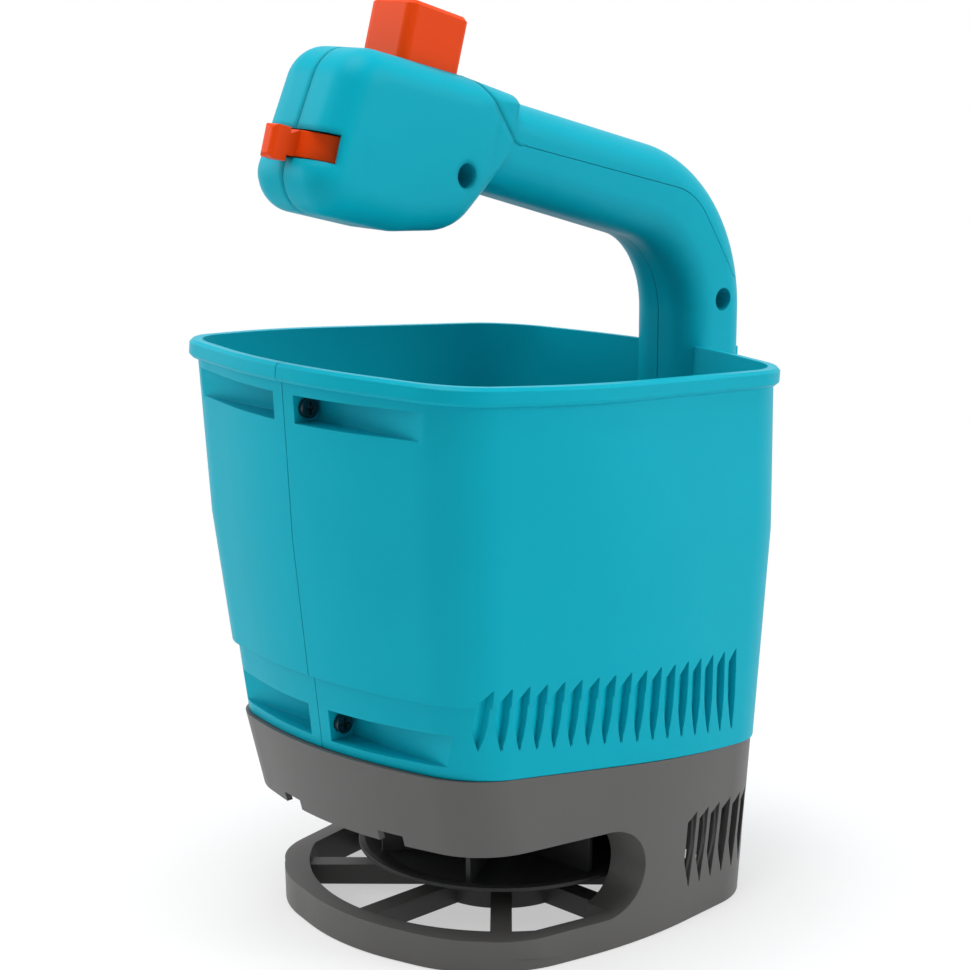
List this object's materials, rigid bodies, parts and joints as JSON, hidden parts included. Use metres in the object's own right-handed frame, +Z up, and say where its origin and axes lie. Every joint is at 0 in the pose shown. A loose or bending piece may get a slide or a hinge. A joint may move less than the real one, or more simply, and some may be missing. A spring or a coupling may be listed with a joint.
{
  "type": "hand spreader",
  "caption": "Battery hand spreader: open hopper with a hooked handle, thumb button and dosing lever; below it a vaned disc throws the grain out at the front.",
  "frame": {"origin": "centre of the bounding box's bottom, on the plane that the foot stands on", "axes": "+Z up, -Y to the front where the grain is thrown out, X across the parting plane of the housing halves"},
  "size_m": [0.1692, 0.2377, 0.3432],
  "materials": {
    "teal_plastic": "fine moulded grain",
    "grey_plastic": "fine moulded grain",
    "black_plastic": "moulded",
    "white_gear_plastic": "moulded acetal",
    "orange_plastic": "satin",
    "steel": "plain",
    "brass": "sintered or turned",
    "motor_can": "plated steel can",
    "seal_rubber": "moulded",
    "black_screw": "black zinc plated",
    "cell_can": "plain unprinted sleeve",
    "lead_sleeve": "pvc sleeve"
  },
  "bodies": {
    "housing": {"left_housing": "teal_plastic", "right_housing": "teal_plastic", "base_housing": "grey_plastic", "hopper_floor": "grey_plastic", "idler_pin": "steel", "gearbox_cover": "grey_plastic", "motor": "motor_can", "shaft_bushes": "brass", "shaft_seal": "seal_rubber", "control_bracket": "grey_plastic", "button_spring": "steel", "micro_switch": "black_plastic", "lever_pivot": "steel", "batteries": "cell_can", "battery_tray": "black_plastic", "battery_contacts": "steel", "motor_leads": "lead_sleeve", "control_cable": "lead_sleeve", "handle_screws": "black_screw", "flange_screws": "black_screw", "base_screws": "black_screw"},
    "button": {"thumb_button": "orange_plastic"},
    "shutter": {"shutter_plate": "black_plastic"},
    "dosing": {"dosing_lever": "orange_plastic"},
    "disc_drive": {"spreading_disc": "black_plastic", "drive_shaft": "steel", "disc_screw": "black_screw", "drive_gear": "white_gear_plastic", "agitator": "black_plastic"},
    "idler": {"idler_gear": "white_gear_plastic"},
    "pinion": {"motor_pinion": "brass"},
    "cover": {"grip_cover": "teal_plastic"}
  },
  "joints": [
    {"name": "thumb_press", "type": "slide", "parent": "housing", "child": "button", "axis": [0, -0.2807, -0.9598], "range_m": [0, 0.008], "stiffness_N_per_m": 600, "springref_m": -0.004, "deforming": ["button_spring"]},
    {"name": "shutter_slide", "type": "slide", "parent": "housing", "child": "shutter", "axis": [0, 1, 0], "range_m": [0, 0.016]},
    {"name": "dosing_turn", "type": "hinge", "parent": "housing", "child": "dosing", "pos_m": [0, -0.0881, 0.2912], "axis": [0, 0.2807, 0.9598], "range_deg": [-20, 20]},
    {"name": "disc_spin", "type": "hinge", "parent": "housing", "child": "disc_drive", "pos_m": [0, -0.0047, 0.02], "axis": [0, 0, 1], "continuous": true},
    {"name": "idler_spin", "type": "hinge", "parent": "housing", "child": "idler", "pos_m": [0, 0.0273, 0.059], "axis": [0, 0, 1], "continuous": true},
    {"name": "pinion_spin", "type": "hinge", "parent": "housing", "child": "pinion", "pos_m": [0, 0.0453, 0.059], "axis": [0, 0, 1], "continuous": true},
    {"name": "cover_lift", "type": "slide", "parent": "housing", "child": "cover", "axis": [0, 0.2807, 0.9598], "range_m": [0, 0.04]}
  ],
  "couplings": [
    {"joint": "shutter_slide", "follows": "thumb_press", "ratio": 2},
    {"joint": "idler_spin", "follows": "disc_spin", "ratio": -1.6667},
    {"joint": "pinion_spin", "follows": "disc_spin", "ratio": 3.3333}
  ]
}
